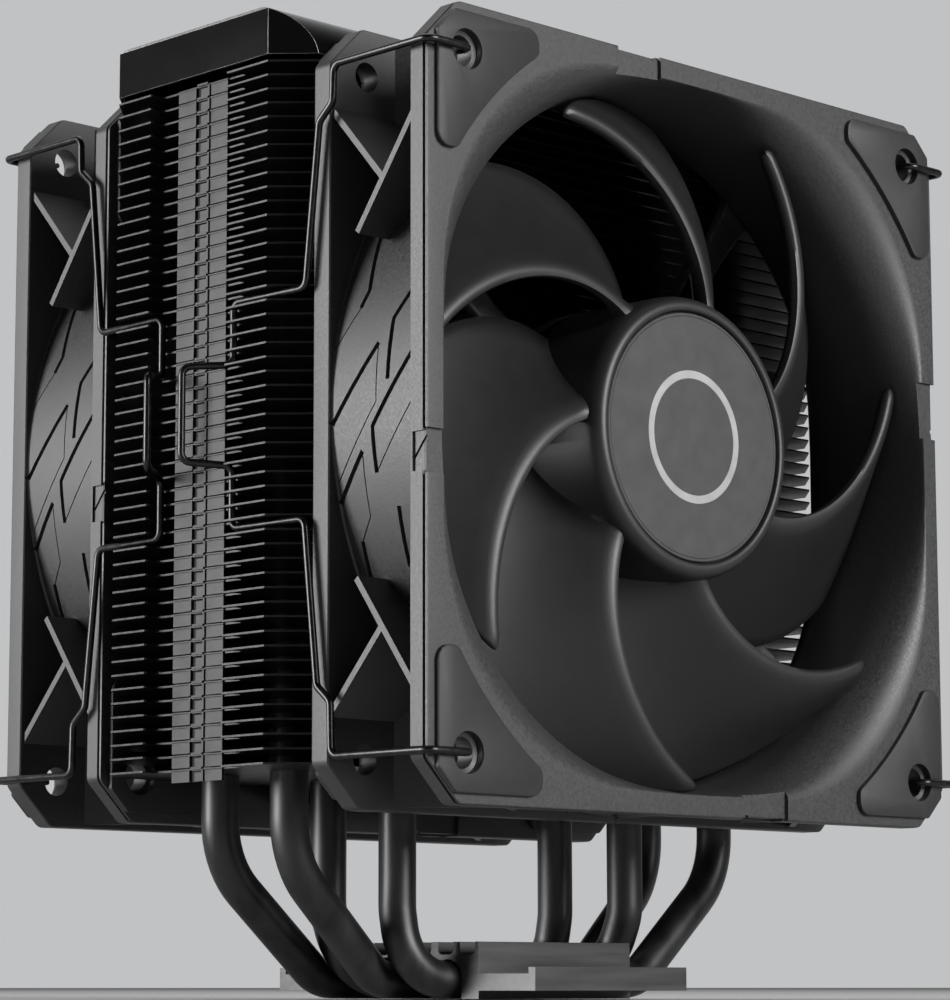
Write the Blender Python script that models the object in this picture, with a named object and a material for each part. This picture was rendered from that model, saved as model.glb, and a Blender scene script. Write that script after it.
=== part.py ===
"""A tower cooler for a processor: four heat pipes, a stack of fins and two fans held by spring clips.

Metres, +Z up, +Y along the air flow. The origin is the centre of the base's contact face.
"""

import math

import bmesh
import bpy
from mathutils import Matrix, Vector
from mathutils.geometry import tessellate_polygon

MM = 0.001
GAP = 0.3 * MM

# Fans. Both blow towards +Y.
FAN_SIDE = 120 * MM
FAN_DEPTH = 25 * MM
FAN_Z = 88 * MM
FAN_Y = 37.65 * MM
HOLE_OFFSET = 52.5 * MM
HOLE_RADIUS = 2.35 * MM
FLANGE_THICK = 3.7 * MM
FLANGE_CHAMFER = 6.5 * MM
FLANGE_BORE = 58.2 * MM
BARREL_IN = 56.5 * MM
BARREL_OUT = 59.4 * MM
BARREL_HALF = 10.5 * MM
MOTOR_BASE_RADIUS = 22.7 * MM
STRUT_COUNT = 4
STRUT_WIDTH = 4.5 * MM

# Rotor
BLADE_COUNT = 7
BLADE_TIP = 55.5 * MM
BLADE_ROOT = 21.9 * MM
BLADE_THICK = 1.6 * MM
BLADE_FRONT = -9.2 * MM
BLADE_BACK = 6.2 * MM
LEADING_ROOT_ANGLE = math.radians(126.5)
LEADING_SWEEP = math.radians(42)
BLADE_CHORD = math.radians(43)
TIP_CHORD_LOSS = math.radians(4)
HUB_RADIUS = 22.75 * MM
BADGE_RADIUS = 19.85 * MM
SHAFT_RADIUS = 1.5 * MM

# Corner pads
PAD_OUTER = 58.4 * MM
PAD_CUT = 3.5 * MM
PAD_LEG = 21.4 * MM
PAD_ARC = 65.8 * MM
PAD_THICK = 0.6 * MM
PAD_HOLE = 3.05 * MM

# Fins. A plate here stands for three or four thin ones.
FIN_HALF_X = 63.5 * MM
FIN_HALF_Y = 23.9 * MM
LOBE_OUTER_Y = 18.3 * MM
FIN_CUT = FIN_HALF_Y - LOBE_OUTER_Y
LOBE_INNER_Y = 10.1 * MM
RECESS_X = 60.8 * MM
TAB_HALF_Y = 6 * MM
TAB_THICK = 0.6 * MM
REAL_FINS = 50
FIRST_FIN_Z = 35 * MM
LAST_FIN_Z = 143.2 * MM
FIN_PITCH = (LAST_FIN_Z - FIRST_FIN_Z) / (REAL_FINS - 1)
PACK_COUNT = 5
FINS_PER_PACK = REAL_FINS // PACK_COUNT
PLATES_PER_PACK = 3
PLATE_THICK = 1.33 * MM

# Heat pipes
PIPE_RADIUS = 3 * MM
PIPE_TOP = 147.5 * MM
PIPE_BASE_Z = 3.05 * MM
PIPE_BASE_PITCH = 6.9 * MM
OUTER_LEG_X = 49.3 * MM
INNER_LEG_X = 26.4 * MM
LEG_Y = 8.2 * MM
# Where each leg leaves its line in the fins, and where it meets the height of the base.
OUTER_KNEE_Z = 21 * MM
INNER_KNEE_Z = 14 * MM
OUTER_FOOT_X = 26.5 * MM
INNER_FOOT_X = 26.5 * MM
OUTER_KNEE_BEND = 14 * MM
INNER_KNEE_BEND = 9 * MM
FOOT_BEND = 8 * MM

# Base
BASE_HALF = 17.5 * MM
BASE_TOP = 9 * MM
SLAB_TOP = 1.3 * MM
EAR_TOP = 4 * MM
EAR_HALF_Y = 30 * MM
LIP_TOP = 5 * MM
LIP_THICK = 1.5 * MM
CHANNEL_PITCH = 5 * MM
CHANNEL_COUNT = 7
CHANNEL_WIDTH = 3.4 * MM
CHANNEL_DEPTH = 2 * MM

# Cover
COVER_TOP = 152.4 * MM
COVER_BOTTOM = 144.3 * MM
COVER_SHEET = 0.8 * MM
# How far the rounded front and back have dropped at each distance from the middle.
COVER_ROUND = (
    (15.8 * MM, 0),
    (18.4 * MM, 1 * MM),
    (20.6 * MM, 2.3 * MM),
    (22.3 * MM, 3.9 * MM),
    (23.4 * MM, 6.2 * MM),
)

# Spring clips
WIRE_RADIUS = 0.6 * MM
CLIP_FACE_Y = 51.85 * MM
CLIP_SIDE_X = 61.3 * MM
CLIP_RECESS_X = 61.8 * MM
CLIP_RECESS_Y = 8.7 * MM
CLIP_LOOP_X = 68.3 * MM
CLIP_Z = 89.1 * MM
CLIP_RUN_RISE = 17.66 * MM
CLIP_BEND = 1.5 * MM


def clear_scene():
    for obj in list(bpy.data.objects):
        bpy.data.objects.remove(obj, do_unlink=True)


def finish(name, color, roughness, metallic):
    """A plain material."""
    material = bpy.data.materials.new(name)
    material.use_nodes = True
    shader = material.node_tree.nodes["Principled BSDF"]
    shader.inputs["Base Color"].default_value = (*color, 1)
    shader.inputs["Roughness"].default_value = roughness
    shader.inputs["Metallic"].default_value = metallic
    return material


def finishes():
    return {
        "frame": finish("frame_plastic", (0.035, 0.035, 0.036), 0.75, 0),
        "blade": finish("blade_plastic", (0.022, 0.022, 0.023), 0.45, 0),
        "badge": finish("badge_foil", (0.09, 0.09, 0.09), 0.5, 0.3),
        "rubber": finish("pad_rubber", (0.05, 0.05, 0.051), 0.85, 0),
        "fin": finish("fin_black", (0.03, 0.03, 0.03), 0.4, 0.9),
        "cover": finish("cover_black", (0.03, 0.03, 0.031), 0.45, 0.6),
        "pipe": finish("pipe_black_nickel", (0.06, 0.06, 0.062), 0.25, 1),
        "base": finish("base_aluminium", (0.12, 0.12, 0.125), 0.4, 0.9),
        "wire": finish("spring_wire", (0.08, 0.08, 0.085), 0.3, 1),
        "steel": finish("ground_steel", (0.5, 0.5, 0.52), 0.3, 1),
        "bronze": finish("bearing_bronze", (0.45, 0.3, 0.15), 0.4, 1),
        "magnet": finish("magnet_ferrite", (0.05, 0.05, 0.05), 0.7, 0.2),
        "copper": finish("winding_copper", (0.5, 0.22, 0.1), 0.4, 0.9),
        "board": finish("board_laminate", (0.02, 0.07, 0.03), 0.5, 0),
    }


def add(name, data, look, parent=None):
    """An object of this mesh or curve, with one finish."""
    obj = bpy.data.objects.new(name, data)
    bpy.context.scene.collection.objects.link(obj)
    if look:
        data.materials.clear()
        data.materials.append(look)
    obj.parent = parent
    return obj


def mesh_from(bm, name):
    """A mesh of the bmesh, its faces turned outwards and its sharp edges marked."""
    bmesh.ops.recalc_face_normals(bm, faces=bm.faces)
    mesh = bpy.data.meshes.new(name)
    bm.to_mesh(mesh)
    bm.free()
    mesh.shade_smooth()
    mesh.set_sharp_from_angle(angle=math.radians(35))
    return mesh


def prism(name, outline, holes, low, high, place):
    """A flat outline with holes, extruded from low to high. place(a, b, height) gives a corner."""
    loops = [outline, *holes]
    corners = [corner for loop in loops for corner in loop]
    flat = [[Vector((a, b, 0)) for a, b in loop] for loop in loops]
    bm = bmesh.new()
    bottom = [bm.verts.new(place(a, b, low)) for a, b in corners]
    top = [bm.verts.new(place(a, b, high)) for a, b in corners]
    for triangle in tessellate_polygon(flat):
        bm.faces.new([bottom[i] for i in triangle])
        bm.faces.new([top[i] for i in triangle])
    start = 0
    for loop in loops:
        count = len(loop)
        for i in range(count):
            a, b = start + i, start + (i + 1) % count
            bm.faces.new((bottom[a], bottom[b], top[b], top[a]))
        start += count
    return mesh_from(bm, name)


def along_x(a, b, height):
    return height, a, b


def along_y(a, b, height):
    return a, height, b


def along_z(a, b, height):
    return a, b, height


def turned(name, profile, steps):
    """A (radius, y) profile turned round the Y axis. It is a closed ring unless it starts on the axis."""
    bm = bmesh.new()
    verts = [bm.verts.new((radius, y, 0)) for radius, y in profile]
    pairs = list(zip(verts, verts[1:]))
    if profile[0][0] > 0:
        pairs.append((verts[-1], verts[0]))
    edges = [bm.edges.new(pair) for pair in pairs]
    geometry = verts + edges
    bmesh.ops.spin(bm, geom=geometry, axis=(0, 1, 0), cent=(0, 0, 0), angle=math.tau, steps=steps)
    bmesh.ops.remove_doubles(bm, verts=bm.verts, dist=0.001 * MM)
    return mesh_from(bm, name)


def block(name, low, high):
    """A box between two corners."""
    bm = bmesh.new()
    bmesh.ops.create_cube(bm, size=1)
    low, high = Vector(low), Vector(high)
    for vert in bm.verts:
        vert.co = [l + (c + 0.5) * (h - l) for c, l, h in zip(vert.co, low, high)]
    return mesh_from(bm, name)


def combined(meshes, operation="UNION", solver="EXACT"):
    """The first mesh with each of the others united with it, cut from it or intersected with it."""
    body = add("body", meshes[0], None)
    helpers = [add("helper", mesh, None) for mesh in meshes[1:]]
    for helper in helpers:
        step = body.modifiers.new("step", "BOOLEAN")
        step.operation = operation
        step.solver = solver
        step.object = helper
    graph = bpy.context.evaluated_depsgraph_get()
    mesh = bpy.data.meshes.new_from_object(body.evaluated_get(graph))
    for obj in (body, *helpers):
        bpy.data.objects.remove(obj, do_unlink=True)
    mesh.shade_smooth()
    mesh.set_sharp_from_angle(angle=math.radians(35))
    return mesh


def polar(radius, angle):
    return radius * math.cos(angle), radius * math.sin(angle)


def circle(x, y, radius, steps):
    return [
        (x + radius * math.cos(k * math.tau / steps), y + radius * math.sin(k * math.tau / steps))
        for k in range(steps)
    ]


def rounded(corners, radii, step=math.radians(22.5)):
    """The route through the corners, each inner corner rounded by an arc of its own radius."""
    corners = [Vector(corner) for corner in corners]
    route = [corners[0]]
    for before, corner, after, radius in zip(corners, corners[1:], corners[2:], radii):
        back = (before - corner).normalized()
        on = (after - corner).normalized()
        half = back.angle(on) / 2
        reach = radius / math.tan(half)
        middle = corner + (back + on).normalized() * radius / math.sin(half)
        start = (corner + back * reach - middle).normalized()
        end = (corner + on * reach - middle).normalized()
        steps = max(2, math.ceil((math.pi - 2 * half) / step))
        route += [middle + start.slerp(end, k / steps) * radius for k in range(steps + 1)]
    return route + [corners[-1]]


def tube(name, route, radius, resolution, look):
    curve = bpy.data.curves.new(name, "CURVE")
    curve.dimensions = "3D"
    curve.bevel_depth = radius
    curve.bevel_resolution = resolution
    curve.use_fill_caps = True
    spline = curve.splines.new("POLY")
    spline.points.add(len(route) - 1)
    for point, place in zip(spline.points, route):
        point.co = (*place, 1)
    return add(name, curve, look)


def make_base(looks):
    """The base block: pipe grooves open at the bottom, an ear on each side and channels on top."""
    groove = PIPE_RADIUS + 0.2 * MM
    under = []
    for k in range(4):
        y = (k - 1.5) * PIPE_BASE_PITCH
        arch = [math.pi * (1 - i / 6) for i in range(7)]
        under += [(y - groove, 0)]
        under += [
            (y + groove * math.cos(a), PIPE_BASE_Z + groove * math.sin(a)) for a in arch
        ]
        under += [(y + groove, 0)]
    right = [
        (BASE_HALF, 0),
        (BASE_HALF, SLAB_TOP),
        (EAR_HALF_Y, SLAB_TOP),
        (EAR_HALF_Y, LIP_TOP),
        (EAR_HALF_Y - LIP_THICK, LIP_TOP),
        (EAR_HALF_Y - LIP_THICK, EAR_TOP),
        (BASE_HALF, EAR_TOP),
        (BASE_HALF, BASE_TOP),
    ]
    over = []
    floor = BASE_TOP - CHANNEL_DEPTH
    half = CHANNEL_WIDTH / 2
    corner = 0.6 * MM
    for k in range(CHANNEL_COUNT):
        y = ((CHANNEL_COUNT - 1) / 2 - k) * CHANNEL_PITCH
        over += [
            (y + half, BASE_TOP),
            (y + half, floor + corner),
            (y + half - corner, floor),
            (y - half + corner, floor),
            (y - half, floor + corner),
            (y - half, BASE_TOP),
        ]
    left = [(-y, z) for y, z in reversed(right)]
    outline = under + right + over + left
    mesh = prism("base_block", outline, [], -BASE_HALF, BASE_HALF, along_x)
    return add("base_block", mesh, looks["base"])


def pipe_route(left, right, base_y):
    """Down one leg, through the base and up the other. Each leg is its (x, y) in the fins."""

    def leg(x, y):
        outer = abs(x) == OUTER_LEG_X
        knee_z = OUTER_KNEE_Z if outer else INNER_KNEE_Z
        foot_x = math.copysign(OUTER_FOOT_X if outer else INNER_FOOT_X, x)
        return [(x, y, PIPE_TOP), (x, y, knee_z), (foot_x, base_y, PIPE_BASE_Z)]

    def bends(x, y):
        return [OUTER_KNEE_BEND if abs(x) == OUTER_LEG_X else INNER_KNEE_BEND, FOOT_BEND]

    corners = leg(*left) + leg(*right)[::-1]
    return rounded(corners, bends(*left) + bends(*right)[::-1])


def make_pipes(looks):
    """Four pipes, each with an outer leg on one side and an inner leg on the other."""
    base_rows = [1.5 * PIPE_BASE_PITCH, 0.5 * PIPE_BASE_PITCH]
    number = 0
    for leg_y in (LEG_Y, -LEG_Y):
        rows = base_rows if leg_y > 0 else [-row for row in reversed(base_rows)]
        legs = ((-OUTER_LEG_X, INNER_LEG_X), (-INNER_LEG_X, OUTER_LEG_X))
        for base_y, (left_x, right_x) in zip(rows, legs):
            number += 1
            route = pipe_route((left_x, leg_y), (right_x, leg_y), base_y)
            tube(f"heat_pipe_{number}", route, PIPE_RADIUS, 2, looks["pipe"])


def mirrored_outline(quarter):
    """A closed outline from its points in the +X +Y quarter, listed from the X axis round to the Y axis."""
    upper = quarter + [(-x, y) for x, y in reversed(quarter)]
    return upper + [(x, -y) for x, y in reversed(upper)]


def fin_outline():
    """The fin seen from above: a lobe either side of a shallow recess, and corners cut at 45 degrees."""
    return mirrored_outline(
        [
            (RECESS_X, LOBE_INNER_Y),
            (FIN_HALF_X, LOBE_INNER_Y),
            (FIN_HALF_X, LOBE_OUTER_Y),
            (FIN_HALF_X - FIN_CUT, FIN_HALF_Y),
        ]
    )


def cover_outline(inset):
    """The cover seen from above: as the fin, with no recess. Cut corners move in 0.4 of the inset."""
    return mirrored_outline(
        [
            (FIN_HALF_X - inset, LOBE_OUTER_Y - 0.4 * inset),
            (FIN_HALF_X - FIN_CUT - 0.4 * inset, FIN_HALF_Y - inset),
        ]
    )


def make_fin_packs(looks):
    """Packs of fins joined by the folded tabs in their side recesses."""
    holes = [
        circle(sx * x, sy * LEG_Y, PIPE_RADIUS + 0.75 * MM, 6)
        for x in (OUTER_LEG_X, INNER_LEG_X)
        for sx in (1, -1)
        for sy in (1, -1)
    ]
    spacing = (FINS_PER_PACK - 1) * FIN_PITCH / (PLATES_PER_PACK - 1)
    half = PLATE_THICK / 2
    plates = [
        prism("plate", fin_outline(), holes, k * spacing - half, k * spacing + half, along_z)
        for k in range(PLATES_PER_PACK)
    ]
    height = (PLATES_PER_PACK - 1) * spacing
    face = RECESS_X - 0.1 * MM
    tabs = [
        block(
            "tab",
            (min(s * face, s * (face - TAB_THICK)), -TAB_HALF_Y, 0),
            (max(s * face, s * (face - TAB_THICK)), TAB_HALF_Y, height),
        )
        for s in (1, -1)
    ]
    mesh = combined(plates + tabs)
    for number in range(PACK_COUNT):
        pack = add(f"fin_pack_{number + 1}", mesh, looks["fin"])
        pack.location.z = FIRST_FIN_Z + number * FINS_PER_PACK * FIN_PITCH


def make_cover(looks):
    """A folded sheet: a flat top, a rounded front and back, and skirts that follow the fins' outline."""

    def solid(inset, bottom):
        profile = [(FIN_HALF_Y - inset, bottom)]
        profile += [(y - inset / 2, COVER_TOP - drop - inset) for y, drop in reversed(COVER_ROUND)]
        profile += [(-y, z) for y, z in reversed(profile)]
        reach = FIN_HALF_X + 5 * MM
        roof = prism("roof", profile, [], -reach, reach, along_x)
        outline = cover_outline(inset)
        walls = prism("walls", outline, [], bottom - MM, COVER_TOP + MM, along_z)
        return combined([roof, walls], "INTERSECT")

    outer = solid(0, COVER_BOTTOM)
    inner = solid(COVER_SHEET, COVER_BOTTOM - 3 * MM)
    add("top_cover", combined([outer, inner], "DIFFERENCE"), looks["cover"])


def clip_route():
    """The wire of the clip at -X, -Y: a hook, down the fan's edge, into the fins and out to a finger loop."""
    hook = [
        (-HOLE_OFFSET, -CLIP_FACE_Y + 3 * MM, HOLE_OFFSET + FAN_Z),
        (-HOLE_OFFSET, -CLIP_FACE_Y, HOLE_OFFSET + FAN_Z),
    ]
    rise = HOLE_OFFSET + FAN_Z - CLIP_Z
    side = [
        (-CLIP_SIDE_X, -CLIP_FACE_Y, CLIP_Z + rise),
        (-CLIP_SIDE_X, -31 * MM, CLIP_Z + rise),
        (-CLIP_SIDE_X, -30.8 * MM, CLIP_Z + 45.5 * MM),
        (-CLIP_SIDE_X, -27.8 * MM, CLIP_Z + 43 * MM),
        (-CLIP_SIDE_X, -24.9 * MM, CLIP_Z + CLIP_RUN_RISE),
    ]
    inner = [
        (-CLIP_RECESS_X, -CLIP_RECESS_Y, CLIP_Z + CLIP_RUN_RISE),
        (-CLIP_RECESS_X, -CLIP_RECESS_Y, CLIP_Z + 7.9 * MM),
        (-CLIP_LOOP_X, -4.2 * MM, CLIP_Z + 7.4 * MM),
    ]
    upper = hook + side + inner
    lower = [(x, y, 2 * CLIP_Z - z) for x, y, z in reversed(upper)]
    # The hooks sit in the fan's holes, a little off the clip's own middle.
    drop = 2 * (CLIP_Z - FAN_Z)
    for i in (-1, -2, -3, -4):
        x, y, z = lower[i]
        lower[i] = (x, y, z - drop)
    corners = upper + lower
    return rounded(corners, [CLIP_BEND] * len(corners), math.radians(45))


def make_clips(looks):
    route = clip_route()
    for fan, side_y in (("front", 1), ("rear", -1)):
        for side, side_x in (("left", 1), ("right", -1)):
            placed = [(side_x * x, side_y * y, z) for x, y, z in route]
            tube(f"{fan}_{side}_clip", placed, WIRE_RADIUS, 1, looks["wire"])


def flange_mesh(low):
    half = FAN_SIDE / 2
    outline = mirrored_outline([(half, half - FLANGE_CHAMFER), (half - FLANGE_CHAMFER, half)])
    holes = [circle(0, 0, FLANGE_BORE, 40)]
    holes += [
        circle(sx * HOLE_OFFSET, sz * HOLE_OFFSET, HOLE_RADIUS, 8)
        for sx in (1, -1)
        for sz in (1, -1)
    ]
    return prism("flange", outline, holes, low, low + FLANGE_THICK, along_y)


def frame_mesh():
    """The fan's frame: two flanges, the barrel, and the motor's base on its struts."""
    barrel = turned(
        "barrel",
        [
            (BARREL_IN, -BARREL_HALF),
            (BARREL_OUT, -BARREL_HALF),
            (BARREL_OUT, BARREL_HALF),
            (BARREL_IN, BARREL_HALF),
        ],
        40,
    )
    flanges = [flange_mesh(-FAN_DEPTH / 2), flange_mesh(FAN_DEPTH / 2 - FLANGE_THICK)]
    cup = turned(
        "cup",
        [
            (0, 12.3 * MM),
            (MOTOR_BASE_RADIUS, 12.3 * MM),
            (MOTOR_BASE_RADIUS, 9.3 * MM),
            (5.6 * MM, 9.3 * MM),
            (5.6 * MM, -4.5 * MM),
            (4.4 * MM, -4.5 * MM),
            (4.4 * MM, 10.8 * MM),
            (0, 10.8 * MM),
        ],
        20,
    )
    struts = []
    for k in range(STRUT_COUNT):
        strut = block(
            "strut",
            (20 * MM, 9.7 * MM, -STRUT_WIDTH / 2),
            (59 * MM, 11.8 * MM, STRUT_WIDTH / 2),
        )
        strut.transform(Matrix.Rotation(math.radians(38) + k * math.tau / STRUT_COUNT, 4, "Y"))
        struts.append(strut)
    # The exact solver leaves holes where the struts meet the rings.
    return combined([barrel, *flanges, cup, *struts], solver="MANIFOLD")


def blades_mesh():
    """Sickle blades that sweep forward towards the tip, each a thin closed plate."""
    spans, chords = 5, 3
    bm = bmesh.new()

    def middle(s, t):
        radius = BLADE_ROOT + s * (BLADE_TIP - BLADE_ROOT)
        chord = BLADE_CHORD - TIP_CHORD_LOSS * s**3
        angle = LEADING_ROOT_ANGLE + LEADING_SWEEP * s**1.18 - chord * t
        x, z = polar(radius, angle)
        return Vector((x, BLADE_FRONT + t * (BLADE_BACK - BLADE_FRONT), z))

    def corner(s, t, side):
        step = 0.01
        along = middle(s + step, t) - middle(s, t)
        across = middle(s, t + step) - middle(s, t)
        return middle(s, t) + along.cross(across).normalized() * side * BLADE_THICK / 2

    for k in range(BLADE_COUNT):
        turn = Matrix.Rotation(k * math.tau / BLADE_COUNT, 4, "Y")
        front, back = (
            [
                [bm.verts.new(turn @ corner(i / spans, j / chords, side)) for j in range(chords + 1)]
                for i in range(spans + 1)
            ]
            for side in (1, -1)
        )
        for sheet in (front, back):
            for i in range(spans):
                for j in range(chords):
                    bm.faces.new(
                        (sheet[i][j], sheet[i + 1][j], sheet[i + 1][j + 1], sheet[i][j + 1])
                    )
        rim = [(i, 0) for i in range(spans)] + [(spans, j) for j in range(chords)]
        rim += [(i, chords) for i in range(spans, 0, -1)] + [(0, j) for j in range(chords, 0, -1)]
        for (i, j), (m, n) in zip(rim, rim[1:] + rim[:1]):
            bm.faces.new((front[i][j], front[m][n], back[m][n], back[i][j]))
    return mesh_from(bm, "blades")


def impeller_mesh():
    """The hub cup, its boss for the shaft, and the blades."""
    hub = turned(
        "hub",
        [
            (0, -10.3 * MM),
            (20.2 * MM, -10.3 * MM),
            (20.2 * MM, -11.15 * MM),
            (20.9 * MM, -11.45 * MM),
            (21.9 * MM, -11 * MM),
            (22.6 * MM, -9.9 * MM),
            (HUB_RADIUS, -8.5 * MM),
            (HUB_RADIUS, 6.5 * MM),
            (20.95 * MM, 6.5 * MM),
            (20.95 * MM, -8.9 * MM),
            (3.2 * MM, -8.9 * MM),
            (3.2 * MM, -5.2 * MM),
            (SHAFT_RADIUS + GAP, -5.2 * MM),
            (SHAFT_RADIUS + GAP, -8.9 * MM),
            (0, -8.9 * MM),
        ],
        24,
    )
    return combined([hub, blades_mesh()])


def stator_mesh():
    """Four wound teeth round the bearing tube."""
    outline = []
    coils = []
    for k in range(4):
        turn = k * math.tau / 4
        for radius, degrees in (
            (9.2, -18), (13.3, -12), (13.6, -37), (16.4, -37), (16.6, -18), (16.7, 0),
            (16.6, 18), (16.4, 37), (13.6, 37), (13.3, 12), (9.2, 18),
        ):  # fmt: skip
            outline.append(polar(radius * MM, turn + math.radians(degrees)))
        coil = block("coil", (9.8 * MM, -5.2 * MM, -4.4 * MM), (12.9 * MM, 5.2 * MM, 4.4 * MM))
        coil.transform(Matrix.Rotation(turn, 4, "Y"))
        coils.append(coil)
    core = prism("core", outline, [circle(0, 0, 5.95 * MM, 16)], -3.8 * MM, 3.8 * MM, along_y)
    return combined([core, *coils])


def ring(name, inner, outer, low, high, steps):
    """A plain ring round the Y axis. The sizes are in millimetres."""
    corners = [(inner, low), (outer, low), (outer, high), (inner, high)]
    return turned(name, [(radius * MM, y * MM) for radius, y in corners], steps)


def fan_meshes():
    """One mesh for each piece of a fan, which both fans use: name, mesh and finish."""
    shaft = [(0, -8.6 * MM), (SHAFT_RADIUS, -8.6 * MM), (SHAFT_RADIUS, 10.4 * MM), (0, 10.4 * MM)]
    badge = [
        (0, -10.95 * MM),
        (BADGE_RADIUS, -10.95 * MM),
        (BADGE_RADIUS, -10.6 * MM),
        (0, -10.6 * MM),
    ]
    yoke = [(3.5, -8.6), (20.6, -8.6), (20.6, 6), (19.8, 6), (19.8, -7.8), (3.5, -7.8)]
    return [
        ("fan_frame", frame_mesh(), "frame"),
        ("impeller", impeller_mesh(), "blade"),
        ("hub_badge", turned("badge", badge, 24), "badge"),
        ("rotor_yoke", turned("yoke", [(r * MM, y * MM) for r, y in yoke], 24), "steel"),
        ("magnet_ring", ring("magnet", 17.2, 19.4, -5.5, 5.5, 24), "magnet"),
        ("shaft", turned("shaft", shaft, 10), "steel"),
        ("bearing_sleeve", ring("sleeve", 1.9, 4.05, -4.2, 9.9, 12), "bronze"),
        ("stator", stator_mesh(), "copper"),
        ("circuit_board", ring("board", 6.1, 18.5, 7.2, 8.4, 20), "board"),
        ("retainer_ring", ring("retainer", 1.9, 3.4, 10.15, 10.5, 8), "steel"),
    ]


def pad_mesh(side_x, side_z, face):
    """A corner pad: two straight edges, a cut corner, a hollow long edge and the screw's hole."""
    cut = PAD_OUTER - PAD_CUT
    near = PAD_OUTER - PAD_LEG
    start = math.asin(near / PAD_ARC)
    arc = [start + (math.pi / 2 - 2 * start) * k / 4 for k in range(5)]
    outline = [(PAD_OUTER, near), (PAD_OUTER, cut), (cut, PAD_OUTER), (near, PAD_OUTER)]
    outline += [polar(PAD_ARC, math.pi / 2 - a) for a in arc]
    outline = [(side_x * x, side_z * z) for x, z in outline]
    hole = circle(side_x * HOLE_OFFSET, side_z * HOLE_OFFSET, PAD_HOLE, 8)
    near_y = FAN_DEPTH / 2 + GAP
    low, high = sorted((face * near_y, face * (near_y + PAD_THICK)))
    return prism("pad", outline, [hole], low, high, along_y)


def make_fans(looks):
    """Two fans of the same pieces, one on each side of the fins."""
    pieces = fan_meshes()
    pads = {
        f"{face}_pad_{row}_{side}": pad_mesh(side_x, side_z, toward)
        for face, toward in (("intake", -1), ("exhaust", 1))
        for row, side_z in (("top", 1), ("bottom", -1))
        for side, side_x in (("left", -1), ("right", 1))
    }
    for fan, y in (("front", -FAN_Y), ("rear", FAN_Y)):
        centre = bpy.data.objects.new(f"{fan}_fan", None)
        bpy.context.scene.collection.objects.link(centre)
        centre.location = (0, y, FAN_Z)
        for name, mesh, look in pieces:
            add(f"{fan}_{name}", mesh, looks[look], centre)
        for name, mesh in pads.items():
            add(f"{fan}_{name}", mesh, looks["rubber"], centre)


def main():
    clear_scene()
    looks = finishes()
    make_base(looks)
    make_pipes(looks)
    make_fin_packs(looks)
    make_cover(looks)
    make_clips(looks)
    make_fans(looks)


main()
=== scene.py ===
"""The looks of a tower cooler with two fans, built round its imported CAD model.

The frame is in metres. Shapes here are worked out in millimetres and scaled by MM.
"""

import math

import bmesh
import bpy
from mathutils import Matrix, Vector
from mathutils.geometry import tessellate_polygon


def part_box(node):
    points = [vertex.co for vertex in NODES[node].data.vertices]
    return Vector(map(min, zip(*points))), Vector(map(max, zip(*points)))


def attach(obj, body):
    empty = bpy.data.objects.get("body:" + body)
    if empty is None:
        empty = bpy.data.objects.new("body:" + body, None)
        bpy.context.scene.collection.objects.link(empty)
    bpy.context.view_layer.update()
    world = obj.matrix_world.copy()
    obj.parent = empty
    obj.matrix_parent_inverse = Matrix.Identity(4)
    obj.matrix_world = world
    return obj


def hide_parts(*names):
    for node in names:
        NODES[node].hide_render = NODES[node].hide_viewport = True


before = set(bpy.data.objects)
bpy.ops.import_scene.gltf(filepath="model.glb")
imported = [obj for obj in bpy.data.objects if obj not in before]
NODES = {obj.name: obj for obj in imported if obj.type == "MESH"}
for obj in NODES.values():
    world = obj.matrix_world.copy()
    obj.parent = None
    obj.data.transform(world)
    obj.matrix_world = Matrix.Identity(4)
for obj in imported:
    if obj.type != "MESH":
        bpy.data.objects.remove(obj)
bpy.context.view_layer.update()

MM = 0.001


# -------- materials

def noise(tree, coords, scale, detail=2.0, rough=0.5):
    node = tree.nodes.new("ShaderNodeTexNoise")
    node.inputs["Scale"].default_value = scale
    node.inputs["Detail"].default_value = detail
    node.inputs["Roughness"].default_value = rough
    tree.links.new(coords, node.inputs["Vector"])
    return node.outputs["Fac"]


def ranged(tree, value, low, high, from_low=0.3, from_high=0.7):
    node = tree.nodes.new("ShaderNodeMapRange")
    node.inputs["From Min"].default_value = from_low
    node.inputs["From Max"].default_value = from_high
    node.inputs["To Min"].default_value = low
    node.inputs["To Max"].default_value = high
    tree.links.new(value, node.inputs["Value"])
    return node.outputs["Result"]


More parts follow.
